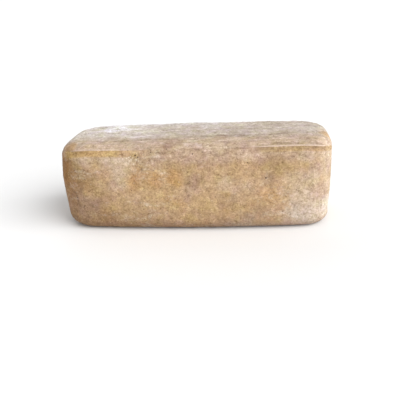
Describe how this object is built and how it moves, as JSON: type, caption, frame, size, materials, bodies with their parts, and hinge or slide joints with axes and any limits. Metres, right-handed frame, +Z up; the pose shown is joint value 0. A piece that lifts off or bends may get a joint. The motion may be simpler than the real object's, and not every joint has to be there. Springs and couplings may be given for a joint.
{
  "type": "peppered raclette cheese",
  "caption": "Whole uncut raclette cheese: a brick-shaped loaf with rounded edges and a mottled natural rind, a thin pressing lip along the top edge of the long sides and a flat base to rest on.",
  "frame": {"origin": "on the base, under the middle of the loaf", "axes": "+X along the loaf, -Y towards the long side that the picture shows, +Z up out of the pressed top"},
  "size_m": [0.3, 0.114, 0.0972],
  "materials": {
    "rind": "matte"
  },
  "bodies": {
    "root": {"cheese_loaf": "rind"}
  },
  "joints": []
}
